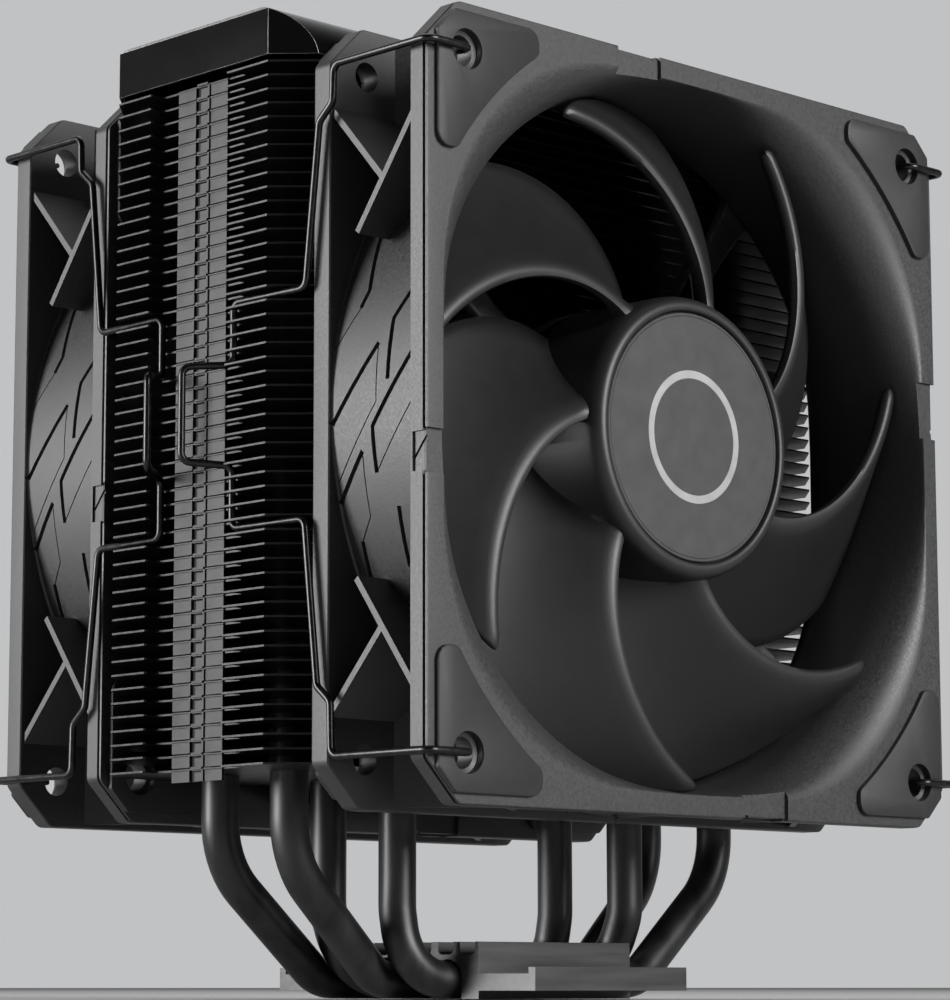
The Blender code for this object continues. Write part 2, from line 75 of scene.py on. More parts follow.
def surface(
    name,
    color,
    roughness,
    metallic=0.0,
    cloud=300,
    spread=0.12,
    rough_spread=0.05,
    grain=0,
    grain_depth=0.01,
    stretch=(1, 1, 1),
    specular=0.5,
):
    """A procedural material: clouded colour and roughness, and a fine grain grain_depth mm high."""
    made = bpy.data.materials.new(name)
    made.use_nodes = True
    tree = made.node_tree
    shader = tree.nodes["Principled BSDF"]
    coords = tree.nodes.new("ShaderNodeTexCoord").outputs["Object"]
    mapping = tree.nodes.new("ShaderNodeMapping")
    mapping.inputs["Scale"].default_value = stretch
    tree.links.new(coords, mapping.inputs["Vector"])
    coords = mapping.outputs["Vector"]
    clouds = noise(tree, coords, cloud, 4.0, 0.6)
    ramp = tree.nodes.new("ShaderNodeValToRGB")
    ramp.color_ramp.elements[0].position = 0.3
    ramp.color_ramp.elements[1].position = 0.7
    ramp.color_ramp.elements[0].color = (*(c * (1 - spread) for c in color), 1)
    ramp.color_ramp.elements[1].color = (*(c * (1 + spread) for c in color), 1)
    tree.links.new(clouds, ramp.inputs["Fac"])
    tree.links.new(ramp.outputs["Color"], shader.inputs["Base Color"])
    tree.links.new(
        ranged(tree, clouds, roughness - rough_spread, roughness + rough_spread),
        shader.inputs["Roughness"],
    )
    shader.inputs["Metallic"].default_value = metallic
    shader.inputs["Specular IOR Level"].default_value = specular
    if grain:
        fine = noise(tree, coords, grain, 3.0, 0.7)
        bump = tree.nodes.new("ShaderNodeBump")
        bump.inputs["Strength"].default_value = 1.0
        bump.inputs["Distance"].default_value = grain_depth * MM
        tree.links.new(fine, bump.inputs["Height"])
        tree.links.new(bump.outputs["Normal"], shader.inputs["Normal"])
    return made


def grey(value, tint=0.0):
    return value, value, value * (1 + tint)


LOOKS = {
    "frame": surface(
        "frame_moulded", grey(0.022, 0.01), 0.5, cloud=1900, spread=0.45, rough_spread=0.06,
        specular=0.75, grain=2400, grain_depth=0.026,
    ),
    "blade": surface(
        "blade_satin", grey(0.01, 0.02), 0.46, spread=0.06, rough_spread=0.015,
        specular=0.65, grain=2400, grain_depth=0.014,
    ),
    "hub": surface(
        "hub_satin", grey(0.01, 0.02), 0.52, spread=0.06, grain=2600, grain_depth=0.012
    ),
    "badge": surface(
        "badge_foil", grey(0.058), 0.5, 0.2, rough_spread=0.02, grain=3000, grain_depth=0.006
    ),
    "mark": surface("badge_mark", grey(0.36), 0.5, grain=3000, grain_depth=0.004),
    "rubber": surface(
        "pad_rubber", grey(0.018), 0.56, cloud=500, rough_spread=0.02, grain=1800, grain_depth=0.008
    ),
    "fin": surface("fin_coating", grey(0.006), 0.4, 0.2, cloud=120, grain=1800, grain_depth=0.006),
    # A painted highlight for the fins' sideways cut edges and the tabs' borders, brighter than the
    # coating.
    "fin_edge_highlight": surface("fin_edge_painted_highlight", grey(0.042), 0.36, 0.9, cloud=900, spread=0.3),
    # A painted highlight on the tabs' outer faces, brighter than the same coating on the plates.
    "fin_tab_painted_highlight": surface(
        "fin_tab_painted_highlight", grey(0.036), 0.42, 0.7, cloud=260, spread=0.25, grain=1500, grain_depth=0.008
    ),
    "cover": surface(
        "cover_paint", grey(0.003), 0.13, cloud=200, rough_spread=0.01, specular=0.2,
        grain=2800, grain_depth=0.001,
    ),
    # A painted highlight for the cover's rounded edges and the folds along its top.
    "cover_highlight": surface(
        "cover_painted_highlight", grey(0.38), 0.45, 0.8, cloud=1500, spread=0.35, grain=2600, grain_depth=0.02
    ),
    "pipe": surface(
        "pipe_black_nickel", grey(0.06, 0.02), 0.42, 0.9, cloud=260, spread=0.3,
        rough_spread=0.07, stretch=(1, 1, 0.12), grain=900, grain_depth=0.008,
    ),
    "base": surface(
        "base_milled", grey(0.1, 0.01), 0.42, 0.8, cloud=500, spread=0.15,
        stretch=(0.08, 1, 1), grain=2200, grain_depth=0.015,
    ),
    "wire": surface("wire_black_steel", grey(0.045, 0.02), 0.32, 1.0, cloud=700, spread=0.2),
    "steel": surface(
        "steel_ground", grey(0.5), 0.28, 1.0, cloud=400, stretch=(1, 0.1, 1),
        grain=1500, grain_depth=0.01,
    ),
    "bronze": surface(
        "bronze_sintered", (0.42, 0.27, 0.13), 0.45, 1.0, grain=2500, grain_depth=0.02
    ),
    "magnet": surface("magnet_ferrite", grey(0.05), 0.75, grain=2500, grain_depth=0.04),
    "copper": surface(
        "winding_copper", (0.52, 0.2, 0.08), 0.35, 0.9, stretch=(1, 6, 1),
        grain=900, grain_depth=0.08,
    ),
    "board": surface(
        "board_mask", (0.02, 0.09, 0.035), 0.35, cloud=500, grain=1800, grain_depth=0.01
    ),
    # Painted shade for the slot in the fins' interlock.
    "slot_shade": surface("slot_shadow", grey(0.004), 0.8, grain=1800, grain_depth=0.01),
}


# -------- mesh tools

SHARP = 35


def settled(mesh, sharp=SHARP):
    """Turns every face outwards, shades it smooth and keeps edges sharp above that angle."""
    bm = bmesh.new()
    bm.from_mesh(mesh)
    bmesh.ops.recalc_face_normals(bm, faces=bm.faces)
    bm.to_mesh(mesh)
    bm.free()
    mesh.shade_smooth()
    mesh.set_sharp_from_angle(angle=math.radians(sharp))
    return mesh


def lofted(rings, loop=False, caps=False):
    """Quads between closed rings of points.

    loop joins the last ring to the first, and caps fills both ends.
    """
    count = len(rings[0])
    points = [point for ring in rings for point in ring]
    faces = []
    for i in range(len(rings) if loop else len(rings) - 1):
        a, b = i * count, (i + 1) % len(rings) * count
        for j in range(count):
            k = (j + 1) % count
            faces.append((a + j, a + k, b + k, b + j))
    if caps:
        last = (len(rings) - 1) * count
        faces += [tuple(range(count)), tuple(range(last, last + count))]
    mesh = bpy.data.meshes.new("lofted")
    mesh.from_pydata(points, [], faces)
    return settled(mesh)


def turned(profile, steps=96):
    """A (radius, y) profile in mm turned round the Y axis.

    The result is a closed ring, unless the profile starts on the axis.
    """
    bm = bmesh.new()
    verts = [bm.verts.new((radius * MM, y * MM, 0)) for radius, y in profile]
    pairs = list(zip(verts, verts[1:]))
    if profile[0][0] > 0:
        pairs.append((verts[-1], verts[0]))
    edges = [bm.edges.new(pair) for pair in pairs]
    bmesh.ops.spin(
        bm, geom=verts + edges, axis=(0, 1, 0), cent=(0, 0, 0), angle=math.tau, steps=steps
    )
    bmesh.ops.remove_doubles(bm, verts=bm.verts, dist=0.0005 * MM)
    mesh = bpy.data.meshes.new("turned")
    bm.to_mesh(mesh)
    bm.free()
    return settled(mesh)


def along_x(a, b, height):
    return height, a, b


def along_y(a, b, height):
    return a, height, b


def along_z(a, b, height):
    return a, b, height


def prism(outline, holes, low, high, place):
    """A flat outline with holes, extruded from low to high."""
    loops = [outline, *holes]
    corners = [corner for loop in loops for corner in loop]
    flat = [[Vector((a, b, 0)) for a, b in loop] for loop in loops]
    count = len(corners)
    points = [place(a, b, low) for a, b in corners] + [place(a, b, high) for a, b in corners]
    faces = []
    for triangle in tessellate_polygon(flat):
        faces.append(tuple(triangle))
        faces.append(tuple(i + count for i in reversed(triangle)))
    start = 0
    for loop in loops:
        for i in range(len(loop)):
            a, b = start + i, start + (i + 1) % len(loop)
            faces.append((a, b, b + count, a + count))
        start += len(loop)
    mesh = bpy.data.meshes.new("prism")
    mesh.from_pydata(points, [], faces)
    return settled(mesh)


def box_mesh(low, high):
    """A box between two corners in mm, used only as a cutter."""
    (x0, y0, z0), (x1, y1, z1) = low, high
    outline = [(x0, y0), (x1, y0), (x1, y1), (x0, y1)]
    return prism([(x * MM, y * MM) for x, y in outline], [], z0 * MM, z1 * MM, along_z)


def polar(radius, angle):
    return radius * math.cos(angle), radius * math.sin(angle)


def circle(x, y, radius, steps):
    return [
        (x + radius * math.cos(k * math.tau / steps), y + radius * math.sin(k * math.tau / steps))
        for k in range(steps)
    ]


def softened(corners, radii, steps=5):
    """A closed 2-D outline with each corner rounded by its own radius."""
    result = []
    count = len(corners)
    for i in range(count):
        before, corner, after = (Vector(corners[(i + k) % count]) for k in (-1, 0, 1))
        radius = radii[i] if isinstance(radii, (list, tuple)) else radii
        back = (before - corner).normalized()
        on = (after - corner).normalized()
        half = back.angle(on) / 2
        if radius <= 0 or half > math.pi / 2 - 0.02:
            result.append(tuple(corner))
            continue
        reach = radius / math.tan(half)
        middle = corner + (back + on).normalized() * (radius / math.sin(half))
        start = corner + back * reach - middle
        end = corner + on * reach - middle
        sweep = start.angle_signed(end)
        for k in range(steps + 1):
            turn = Matrix.Rotation(-sweep * k / steps, 2)
            result.append(tuple(middle + turn @ start))
    return result


def rounded_route(corners, radii, step):
    """The route through the corners, each inner corner rounded by an arc of its own radius."""
    corners = [Vector(corner) for corner in corners]
    route = [corners[0]]
    for before, corner, after, radius in zip(corners, corners[1:], corners[2:], radii):
        back = (before - corner).normalized()
        on = (after - corner).normalized()
        half = back.angle(on) / 2
        reach = radius / math.tan(half)
        middle = corner + (back + on).normalized() * radius / math.sin(half)
        start = (corner + back * reach - middle).normalized()
        end = (corner + on * reach - middle).normalized()
        steps = max(2, math.ceil((math.pi - 2 * half) / step))
        route += [middle + start.slerp(end, k / steps) * radius for k in range(steps + 1)]
    return route + [corners[-1]]


def swept(route, steps, section):
    """A closed tube along a route. section(i, direction) gives the offset from route point i."""
    count = len(route)
    tangents = []
    for i in range(count):
        before, after = route[max(i - 1, 0)], route[min(i + 1, count - 1)]
        tangents.append((after - before).normalized())
    side = tangents[0].orthogonal().normalized()
    rings = []
    for i in range(count):
        side = (side - tangents[i] * side.dot(tangents[i])).normalized()
        other = tangents[i].cross(side)
        ring = []
        for k in range(steps):
            angle = k * math.tau / steps
            offset = section(i, math.cos(angle) * side + math.sin(angle) * other)
            ring.append(route[i] + offset)
        rings.append(ring)
    return lofted(rings, caps=True)


def new_object(name, mesh):
    obj = bpy.data.objects.new(name, mesh)
    bpy.context.scene.collection.objects.link(obj)
    return obj


def combined(meshes, operation="UNION"):
    """The first mesh joined with, cut by or kept inside the others."""
    body = new_object("body", meshes[0])
    helpers = [new_object("helper", mesh) for mesh in meshes[1:]]
    for helper in helpers:
        step = body.modifiers.new("step", "BOOLEAN")
        step.operation = operation
        step.solver = "MANIFOLD"
        step.object = helper
    graph = bpy.context.evaluated_depsgraph_get()
    mesh = bpy.data.meshes.new_from_object(body.evaluated_get(graph))
    for obj in (body, *helpers):
        bpy.data.objects.remove(obj, do_unlink=True)
    mesh.shade_smooth()
    mesh.set_sharp_from_angle(angle=math.radians(SHARP))
    return mesh


def piece(name, mesh, looks, body, nodes, place=(0, 0, 0), bevel=0, rim=-1, weighted=False):
    """A visible piece: in place, with its looks, riding on its body and standing for CAD nodes."""
    obj = new_object(name, mesh)
    obj.location = place
    if not any(mesh.materials):
        mesh.materials.clear()
        for look in looks:
            mesh.materials.append(LOOKS[look])
    if bevel:
        rounding = obj.modifiers.new("rounding", "BEVEL")
        rounding.width = bevel * MM
        rounding.segments = 2
        rounding.limit_method = "ANGLE"
        rounding.angle_limit = math.radians(40)
        rounding.material = rim
    if weighted:
        even = obj.modifiers.new("even", "WEIGHTED_NORMAL")
        even.keep_sharp = True
    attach(obj, body)
    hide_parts(*nodes)
    return obj


def middle_of(node):
    low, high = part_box(node)
    return (low + high) / 2


# -------- fan frame

# The fan in mm: half width, corner chamfer, half depth, flange, inner and outer radius, holes.
HALF = 60.0
CHAMFER = 6.5
DEPTH = 12.5
FLANGE = 3.7
THROAT = 56.3
BARREL = 59.4
HOLE_AT = 52.5
# How deep the inlet and the outlet roll in, and how many steps each takes.
INLET, INLET_STEPS = 8.6, 12
OUTLET, OUTLET_STEPS = 4.5, 6
# Spans along a flange's side and along its chamfer, and along each rounded corner between.
SIDE_SPANS, CHAMFER_SPANS, CORNER_SPANS = 38, 5, 4
CORNER_RADIUS = 1.8


def flange_ring(inset, y):
    """The frame's outer outline, in metres, with its points in the same order for every inset."""
    half = HALF - inset
    cut = CHAMFER - 0.586 * inset
    radius = max(CORNER_RADIUS - inset, 0.4)
    points = []
    for quarter in range(4):
        turn = Matrix.Rotation(quarter * math.pi / 2, 2)
        corners = [(half, -half + cut), (half, half - cut), (half - cut, half), (-half + cut, half)]
        for k, spans in ((1, SIDE_SPANS), (2, CHAMFER_SPANS)):
            before, corner, after = (Vector(corners[k + j]) for j in (-1, 0, 1))
            back = (before - corner).normalized()
            on = (after - corner).normalized()
            angle = back.angle(on) / 2
            reach = radius / math.tan(angle)
            first = before + (corner - before).normalized() * reach
            last = corner + back * reach
            points += [turn @ first.lerp(last, j / spans) for j in range(1, spans)]
            middle = corner + (back + on).normalized() * radius / math.sin(angle)
            start, end = last - middle, corner + on * reach - middle
            sweep = start.angle_signed(end)
            for j in range(CORNER_SPANS + 1):
                bend = Matrix.Rotation(-sweep * j / CORNER_SPANS, 2)
                points.append(turn @ (middle + bend @ start))
    return [Vector((x, y, z)) * MM for x, z in points]


ANGLES = [math.atan2(point.z, point.x) for point in flange_ring(0, 0)]


def round_ring(radius_at, y):
    """A ring round the Y axis, with a point at each of the flange outline's angles."""
    return [
        Vector((radius_at(a) * math.cos(a), y, radius_at(a) * math.sin(a))) * MM for a in ANGLES
    ]


def rounded_square(angle, half=56.7, corner=39.0):
    """The distance to a rounded square's edge at an angle."""
    c, s = sorted((abs(math.cos(angle)), abs(math.sin(angle))), reverse=True)
    straight = half - corner
    if half * s / c <= straight:
        return half / c
    both = straight * (c + s)
    return both + math.sqrt(both**2 - 2 * straight**2 + corner**2)


def roll_ring(turn, y_face, depth, toward):
    """A ring of the smooth roll from the flange's face into the round throat."""
    share = 1 - math.sin(turn)
    y = y_face + toward * depth * (1 - math.cos(turn))
    return round_ring(lambda a: THROAT + (rounded_square(a) - THROAT) * share, y)


def frame_loft():
    """The frame's wall as one closed loft: inlet, outlet, rear flange, barrel, front flange."""
    quarter = math.pi / 2
    rings = [
        roll_ring(k * quarter / INLET_STEPS, -DEPTH, INLET, 1) for k in range(INLET_STEPS + 1)
    ]
    rings += [
        roll_ring(quarter - k * quarter / OUTLET_STEPS, DEPTH, OUTLET, -1)
        for k in range(OUTLET_STEPS + 1)
    ]
    rings += [flange_ring(0.35, DEPTH), flange_ring(0.1, DEPTH - 0.1), flange_ring(0, DEPTH - 0.35)]
    rings += [flange_ring(0, DEPTH - FLANGE + 0.2), flange_ring(0.2, DEPTH - FLANGE)]
    rings += [round_ring(lambda a: BARREL + 0.25, DEPTH - FLANGE)]
    rings += [round_ring(lambda a: BARREL, DEPTH - FLANGE - 0.3)]
    rings += [round_ring(lambda a: BARREL, y) for y in (4, 0, -4)]
    rings += [round_ring(lambda a: BARREL, -DEPTH + FLANGE + 0.3)]
    rings += [round_ring(lambda a: BARREL + 0.25, -DEPTH + FLANGE)]
    rings += [flange_ring(0.2, -DEPTH + FLANGE), flange_ring(0, -DEPTH + FLANGE - 0.2)]
    # The parting line runs round the side, just behind the front face.
    rings += [flange_ring(0, -DEPTH + 0.95), flange_ring(0.45, -DEPTH + 0.9)]
    rings += [flange_ring(0.45, -DEPTH + 0.45), flange_ring(0.02, -DEPTH + 0.4)]
    rings += [flange_ring(0.08, -DEPTH + 0.12), flange_ring(0.3, -DEPTH)]
    return lofted(rings, loop=True)


def strip(route, width, low, high, place):
    """A band of constant width along a 2-D route in mm, extruded from low to high."""
    route = [Vector(point) for point in route]
    left, right = [], []
    for i, point in enumerate(route):
        before = (point - route[i - 1]).normalized() if i else None
        after = (route[i + 1] - point).normalized() if i < len(route) - 1 else None
        direction = ((before or after) + (after or before)).normalized()
        normal = Vector((-direction.y, direction.x))
        onward = after or before
        reach = width / 2 / max(0.5, normal.dot(Vector((-onward.y, onward.x))))
        left.append(point + normal * reach)
        right.append(point - normal * reach)
    outline = [tuple(p * MM) for p in left + right[::-1]]
    return prism(outline, [], low * MM, high * MM, place)


# Lines moulded into the barrel: (y, z) along one side, in mm from the fan's middle.
GROOVES = (
    ((5.6, 31.5), (3.4, 17.7), (4.5, 15.0)),
    ((-8.7, 19.6), (-3.4, 12.2), (-3.3, 2.9)),
    ((-0.8, 8.8), (8.7, -2.6)),
    ((-8.8, 7.1), (0.0, -3.8), (-0.1, -10.7)),
    ((2.5, -7.2), (8.6, -14.4)),
    ((-3.6, -15.9), (-2.7, -24.6)),
    ((5.7, -20.2), (6.6, -29.0)),
)
FINE_GROOVES = (
    ((4.3, 15.2), (8.8, 9.0)),
    ((-0.8, 8.8), (-0.9, -0.1), (8.4, -11.4)),
    ((-8.6, -0.9), (-0.3, -10.5)),
    ((2.5, -7.5), (2.8, -16.8), (5.9, -20.5)),
)
# Each set of lines with its width and depth.
GROOVE_SETS = ((GROOVES, 0.85, 0.75), (FINE_GROOVES, 0.22, 0.25))
# Thin webs between the flanges, either side of each corner: (y, z) from end to end.
WEBS = (((-9.2, 43.2), (3.4, 26.2)), ((9.2, 46.2), (-1.9, 34.0)))
# The step in the front rim on each side, from end to end: left, top, right, bottom.
NOTCHES = ((-12.1, -5.4), (-18.5, -8.6), (-15.6, -6.0), (-19.7, -8.9))


def side_turns():
    return [Matrix.Rotation(quarter * math.pi / 2, 4, "Y") for quarter in range(4)]


def grooves():
    """Cutters for the lines on one side, each wrapped round the barrel."""
    cutters = []
    for routes, width, depth in GROOVE_SETS:
        corners = (
            (1, BARREL - depth), (1, BARREL + 1), (-1, BARREL + 1), (-1, BARREL - depth),
        )
        for route in routes:
            points = []
            for (y0, z0), (y1, z1) in zip(route, route[1:]):
                spans = max(2, math.ceil(abs(z1 - z0) / 2))
                first = 0 if not points else 1
                points += [
                    Vector((y0 + (y1 - y0) * k / spans, z0 + (z1 - z0) * k / spans))
                    for k in range(first, spans + 1)
                ]
            rings = []
            for i, point in enumerate(points):
                before = points[max(i - 1, 0)]
                after = points[min(i + 1, len(points) - 1)]
                direction = (after - before).normalized()
                normal = Vector((-direction.y, direction.x)) * width / 2
                ring = []
                for side, radius in corners:
                    y, z = point + side * normal
                    angle = math.asin(z / BARREL)
                    corner = (-radius * math.cos(angle), y, radius * math.sin(angle))
                    ring.append(Vector(corner) * MM)
                rings.append(ring)
            cutters.append(lofted(rings, caps=True))
    return cutters


def webs():
    """One side's webs, kept between the flanges and outside the barrel."""
    bands = []
    for route in WEBS:
        for up in (1, -1):
            placed = [(y, up * z) for y, z in route]
            bands.append(strip(placed, 1.0, -59.35, -34, along_x))
    inner = turned([(0, -11), (57.9, -11), (57.9, 11), (0, 11)], 120)
    limits = box_mesh((-60, -8.95, -60), (0, 8.95, 60))
    between = combined([combined(bands), limits], "INTERSECT")
    return combined([between, inner], "DIFFERENCE")


# The motor cup's section: (radius, y).
CUP = (
    (0, 11.9), (16.6, 11.9), (17.1, 12.3), (22.1, 12.3), (22.5, 12.15), (22.7, 11.8),
    (22.7, 9.5), (22.5, 9.3), (21.6, 9.3), (21.4, 9.5), (21.4, 10.5), (5.6, 10.5),
    (5.6, -4.5), (4.4, -4.5), (4.4, 10.9), (0, 10.9),
)
# A strut from cup to barrel: radius, half width and half thickness.
STRUT = (
    (20, 3.4, 1.0), (24, 2.7, 1.05), (32, 2.25, 1.05), (48, 2.25, 1.05), (54, 2.8, 1.05),
    (58, 3.6, 1.05),
)
STRUT_Y, STRUT_START = 10.75, 38
# A screw hole with its countersunk ends: (radius, y).
SCREW_HOLE = (
    (0, -13), (3.0, -13), (3.0, -12.15), (2.35, -11.9), (2.35, 11.9), (3.0, 12.15),
    (3.0, 13), (0, 13),
)


def frame_mesh():
    """The fan's frame: flanges and barrel, motor cup, struts and webs, with holes and lines."""
    solids = [frame_loft(), turned(CUP, 72)]
    for k in range(4):
        rings = []
        for x, wide, thick in STRUT:
            corners = [(-wide, -thick), (wide, -thick), (wide, thick), (-wide, thick)]
            section = softened(corners, 0.55, 3)
            rings.append([Vector((x, STRUT_Y + y, z)) * MM for z, y in section])
        strut = lofted(rings, caps=True)
        strut.transform(Matrix.Rotation(math.radians(STRUT_START) + k * math.pi / 2, 4, "Y"))
        solids.append(strut)
    web = webs()
    for turn in side_turns():
        copy = web.copy()
        copy.transform(turn)
        solids.append(copy)
    body = combined(solids)
    cutters = []
    for sx in (1, -1):
        for sz in (1, -1):
            hole = turned(SCREW_HOLE, 32)
            hole.transform(Matrix.Translation((sx * HOLE_AT * MM, 0, sz * HOLE_AT * MM)))
            cutters.append(hole)
    patterns = grooves()
    for turn, (low, high) in zip(side_turns(), NOTCHES):
        # A shallow step in the rim, a little off the middle of each side, with its slanted slit.
        step = box_mesh((-61, -13, low), (-50, -11.85, high))
        shoulder = box_mesh((-61, -13, low + 0.4), (-59.6, -9.4, high - 0.4))
        slit = strip(((-13.2, high + 0.2), (-9.5, high - 4.3)), 0.45, -61, -59.3, along_x)
        for mesh in (*patterns, step, shoulder, slit):
            copy = mesh.copy()
            copy.transform(turn)
            cutters.append(copy)
    return combined([body, *cutters], "DIFFERENCE")


# -------- rotor

BLADES = 7
# A blade in mm: radius at root and tip, y of its leading and trailing edge.
ROOT, TIP = 21.6, 55.5
FRONT, BACK = -9.2, 6.2
# The nose's length and half thickness, and the tail's length and half thickness.
NOSE_LENGTH, NOSE_HALF = 2.8, 1.25
TAIL_LENGTH, TAIL_HALF = 0.5, 0.5
# Degrees: where the leading edge starts, how far it sweeps, and how wide the blade is.
LEAD, SWEEP, TIP_SWEEP = 126.5, 43.6, 1.2
CHORD, CHORD_LOSS = 43, 4
# The tip's leading corner is trimmed over this share of the span, by this share of the chord.
TIP_ROUND, TIP_TRIM = 0.06, 0.05
# The blade thickens into the hub over this share of the span.
FILLET, FILLET_GAIN = 0.09, 0.9
SPAN_STEPS, CHORD_STEPS = 26, 12


def blade_mesh():
    """One sickle blade: thick round nose, thin tail, swept forward to a blunt tip."""
    fractions = [i / SPAN_STEPS * 0.95 for i in range(SPAN_STEPS + 1)]
    fractions += [0.965, 0.98, 0.99, 0.996, 1.0]
    thinning = {len(fractions) - 2: 0.8, len(fractions) - 1: 0.35}

    def middle(s, t):
        """The middle surface at s along the span and t along the chord."""
        radius = ROOT + s * (TIP - ROOT)
        lead = math.radians(LEAD + SWEEP * s**1.18 + TIP_SWEEP * s**8)
        chord = math.radians(CHORD - CHORD_LOSS * s**3)
        angle = lead - chord * t
        front = FRONT + 0.7 * s * s
        y = front + (BACK - front) * (t + 0.1 * math.sin(math.pi * t))
        return Vector((radius * math.cos(angle), y, radius * math.sin(angle)))

    rings = []
    for i, s in enumerate(fractions):
        length = sum((middle(s, (k + 1) / 8) - middle(s, k / 8)).length for k in range(8))
        nose = NOSE_LENGTH / length
        tail = TAIL_LENGTH / length
        chordwise = [0, nose * 0.12, nose * 0.35, nose * 0.65, nose]
        chordwise += [
            nose + (1 - tail - nose) * k / CHORD_STEPS for k in range(1, CHORD_STEPS + 1)
        ]
        chordwise += [1 - tail / 3, 1]
        thick = thinning.get(i, 1.0) * (1 + FILLET_GAIN * max(0, 1 - s / FILLET) ** 2)
        blunt = max(0, (s - 1 + TIP_ROUND) / TIP_ROUND)
        trim = TIP_TRIM * (1 - math.sqrt(max(0, 1 - blunt**2)))
        over, under = [], []
        for t in chordwise:
            if t < nose:
                half = NOSE_HALF * math.sqrt(1 - (1 - t / nose) ** 2)
            else:
                half = NOSE_HALF - (NOSE_HALF - TAIL_HALF) * (t - nose) / (1 - nose)
            if t > 1 - tail * 0.99:
                half *= 0.75 if t < 1 else 0.25
            step = 0.004
            u = trim + (1 - trim) * t
            along = middle(s + step, u) - middle(s, u)
            across = middle(s, u + step) - middle(s, u)
            normal = along.cross(across).normalized() * half * thick
            over.append((middle(s, u) + normal) * MM)
            under.append((middle(s, u) - normal) * MM)
        rings.append(over + under[:0:-1])
    count = len(chordwise)
    ring_size = len(rings[0])
    points = [point for ring in rings for point in ring]
    quads = []
    for i in range(len(rings) - 1):
        for j in range(ring_size):
            k = (j + 1) % ring_size
            a, b = i * ring_size, (i + 1) * ring_size
            quads.append((a + j, a + k, b + k, b + j))
    for start in (0, (len(rings) - 1) * ring_size):
        quads.append((start, start + 1, start + ring_size - 1))
        for j in range(1, count - 1):
            quads.append(
                (start + j, start + j + 1, start + (ring_size - j - 1), start + (ring_size - j))
            )
    mesh = bpy.data.meshes.new("blade")
    mesh.from_pydata(points, [], quads)
    return settled(mesh, 60)


# The hub's section, (radius, y): the badge's seat, then the skirt, its inside and the boss.
HUB_FRONT = (
    (0, -10.3), (20.05, -10.3), (20.2, -10.45), (20.2, -11.1), (20.35, -11.33), (20.6, -11.43),
)
HUB_BACK = (
    (22.75, 6.3), (22.55, 6.5), (21.15, 6.5), (20.95, 6.3), (20.95, -8.9), (3.2, -8.9),
    (3.2, -5.2), (1.8, -5.2), (1.8, -8.9), (0, -8.9),
)


def rotor_mesh():
    """The hub cup with its soft front edge, and the blades."""
    edge = [
        (20.9 + 1.85 * math.sin(k * math.pi / 20), -8.5 - 2.95 * math.cos(k * math.pi / 20))
        for k in range(11)
    ]
    hub = [*HUB_FRONT, *edge, *HUB_BACK]
    blade = blade_mesh()
    blades = []
    for k in range(BLADES):
        copy = blade.copy()
        copy.transform(Matrix.Rotation(k * math.tau / BLADES, 4, "Y"))
        blades.append(copy)
    mesh = combined([turned(hub, 112), *blades])
    mesh.set_sharp_from_angle(angle=math.radians(50))
    return mesh


def badge_mesh():
    """The hub's badge: a flat disc with a fine groove near its rim and a plain ring."""
    front = -10.95
    profile = [
        (0, front), (9.35, front), (9.4, front - 0.04), (10.6, front - 0.04), (10.65, front),
        (19.25, front), (19.35, front + 0.08), (19.45, front), (19.75, front),
        (19.85, front + 0.1), (19.85, -10.35), (0, -10.35),
    ]
    mesh = turned(profile, 112)
    for look in ("badge", "mark"):
        mesh.materials.append(LOOKS[look])
    for face in mesh.polygons:
        middle = face.center / MM
        if 9.3 < math.hypot(middle.x, middle.z) < 10.7 and middle.y < front + 0.02:
            face.material_index = 1
    return mesh


def pad_mesh():
    """The front pad at +X +Z: rounded corners, a cut corner and a hollow long edge."""
    near, outer, cut, arc = 37.0, 58.4, 54.9, 65.8
    start = math.asin(near / arc)
    hollow = [start + (math.pi / 2 - 2 * start) * k / 14 for k in range(15)]
    corners = [(outer, near), (outer, cut), (cut, outer), (near, outer)]
    corners += [polar(arc, math.pi / 2 - a) for a in hollow]
    radii = [2.2, 0.9, 0.9, 2.2, 1.6] + [0] * 13 + [1.6]
    outline = softened(corners, radii, 4)

    def inset_ring(inset, y):
        result = []
        count = len(outline)
        for i in range(count):
            before, after = Vector(outline[i - 1]), Vector(outline[(i + 1) % count])
            direction = (after - before).normalized()
            point = Vector(outline[i]) + Vector((-direction.y, direction.x)) * inset
            result.append(Vector((point.x, y, point.y)) * MM)
        return result

    levels = ((0, -11.9), (0, -13.15), (0.06, -13.3), (0.25, -13.4))
    solid = lofted([inset_ring(inset, y) for inset, y in levels], caps=True)
    bore = turned([(0, -14), (3.3, -14), (3.1, -13.3), (3.05, -13.1), (3.05, -11), (0, -11)], 36)
    bore.transform(Matrix.Translation((HOLE_AT * MM, 0, HOLE_AT * MM)))
    shell = combined([solid, bore], "DIFFERENCE")
    keep = box_mesh((30, -15, 30), (62, -12.49, 62))
    return combined([shell, keep], "INTERSECT")


# Quarter turns that carry the pad at top right to each corner.
CORNERS = {
    ("top", "right"): 0,
    ("top", "left"): -1,
    ("bottom", "left"): 2,
    ("bottom", "right"): 1,
}
# The fan's inner nodes show as the CAD made them, each with its look.
INNER_LOOKS = {
    "rotor_yoke": "steel",
    "magnet_ring": "magnet",
    "shaft": "steel",
    "bearing_sleeve": "bronze",
    "stator": "copper",
    "circuit_board": "board",
    "retainer_ring": "steel",
}


def pad_meshes():
    """The eight pads by face, row and side."""
    pad = pad_mesh()
    pads = {}
    for (row, side), turns in CORNERS.items():
        mesh = pad.copy()
        mesh.transform(Matrix.Rotation(turns * math.pi / 2, 4, "Y"))
        pads["intake", row, side] = mesh
        back = mesh.copy()
        back.transform(Matrix.Scale(-1, 4, (0, 1, 0)))
        pads["exhaust", row, side] = settled(back)
    return pads


